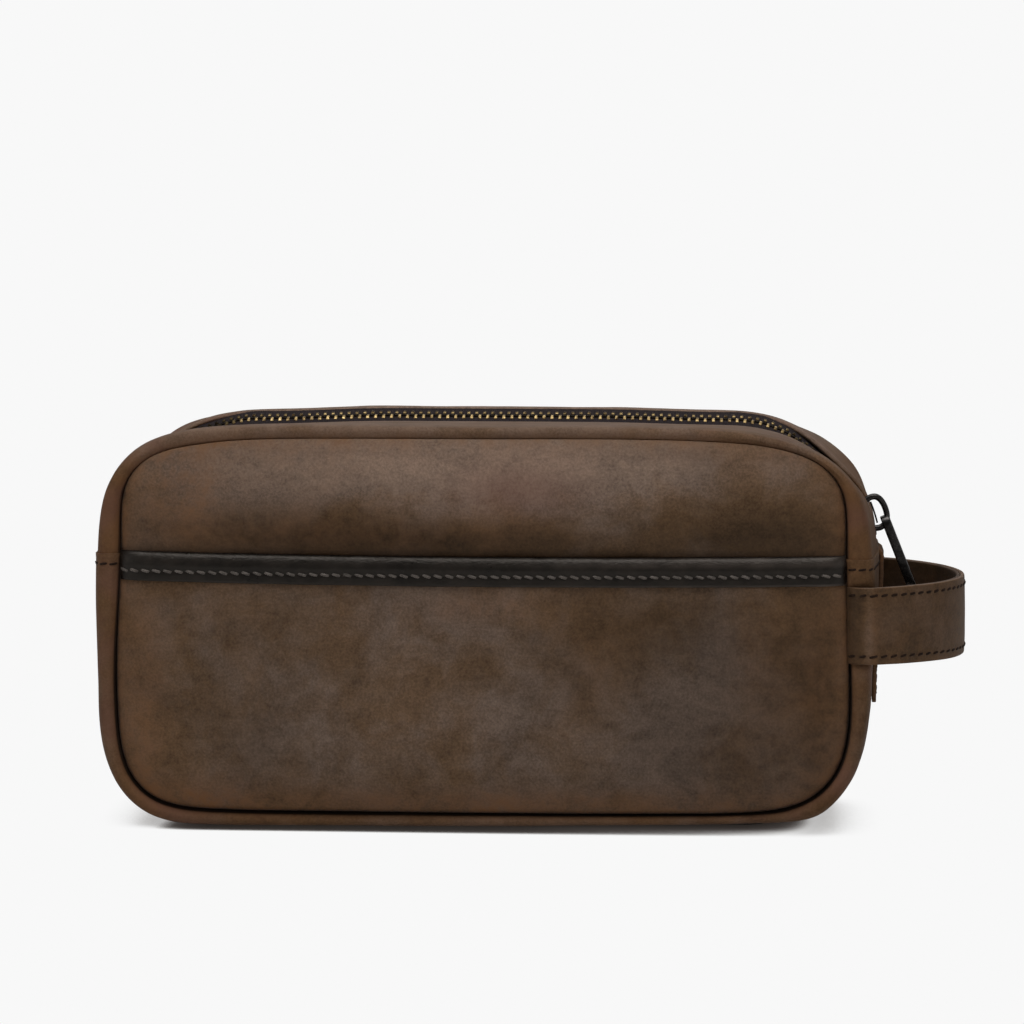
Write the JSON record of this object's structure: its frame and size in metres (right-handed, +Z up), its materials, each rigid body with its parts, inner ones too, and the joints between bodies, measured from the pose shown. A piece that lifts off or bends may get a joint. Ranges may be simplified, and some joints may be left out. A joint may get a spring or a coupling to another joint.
{
  "type": "toiletry bag",
  "caption": "Leather zip-top toiletry bag with a bound front slip pocket, a curved top zip over both ends and a side carry loop.",
  "frame": {"origin": "centre of the flat base, on the surface the bag stands on", "axes": "+X towards the carry loop, -Y towards the front pocket face, +Z up"},
  "size_m": [0.3092, 0.0989, 0.146],
  "materials": {
    "brown_leather": "oiled pull-up, semi-matt",
    "black_leather": "smooth, glossy",
    "lining_cloth": "twill, matt",
    "zip_tape": "herringbone tape, matt",
    "antique_brass": "antiqued",
    "gunmetal": "dark nickel, polished",
    "spring_steel": "plain",
    "grey_thread": "waxed thread",
    "brown_thread": "waxed thread",
    "board": "matt"
  },
  "bodies": {
    "bag": {"base_gusset": "brown_leather", "zip_gusset_rear": "brown_leather", "back_panel": "brown_leather", "front_panel_lower": "brown_leather", "front_pocket": "brown_leather", "pocket_trim": "black_leather", "base_board": "board", "lining_gusset": "lining_cloth", "lining_back": "lining_cloth", "lining_front_lower": "lining_cloth", "zip_tape_rear": "zip_tape", "zip_teeth_rear": "antique_brass", "zip_top_stop_rear": "antique_brass", "zip_bottom_stop": "antique_brass", "loop_tails": "brown_leather", "zip_end_tab": "brown_leather", "pocket_trim_thread": "grey_thread", "hem_thread": "brown_thread", "tab_thread": "brown_thread"},
    "mouth_front": {"front_panel_upper": "brown_leather", "zip_gusset_front": "brown_leather", "lining_front_upper": "lining_cloth", "zip_tape_front": "zip_tape", "zip_teeth_front": "antique_brass", "zip_top_stop_front": "antique_brass"},
    "slider": {"slider_body": "gunmetal", "slider_bail": "gunmetal", "slider_lock_spring": "spring_steel"},
    "puller": {"puller": "gunmetal"},
    "carry_loop": {"loop_outer": "brown_leather", "loop_inner": "brown_leather", "loop_thread": "brown_thread"}
  },
  "joints": [
    {"name": "mouth_open", "type": "hinge", "parent": "bag", "child": "mouth_front", "pos_m": [0, -0.0441, 0.099], "axis": [1, 0, 0], "range_deg": [0, 22], "deforming": ["zip_tape_front", "zip_teeth_front", "zip_top_stop_front"]},
    {"name": "slider_travel", "type": "hinge", "parent": "bag", "child": "slider", "pos_m": [0.0836, 0, 0.092], "axis": [0, -1, 0], "range_deg": [0, 70], "deforming": ["zip_teeth_rear", "zip_teeth_front"]},
    {"name": "puller_swing", "type": "hinge", "parent": "slider", "child": "puller", "pos_m": [0.13977, 0, 0.10742], "axis": [0, -1, 0], "range_deg": [-4, 100]},
    {"name": "loop_tilt", "type": "hinge", "parent": "bag", "child": "carry_loop", "pos_m": [0.14205, 0, 0.07455], "axis": [0, -1, 0], "range_deg": [-25, 25]}
  ]
}
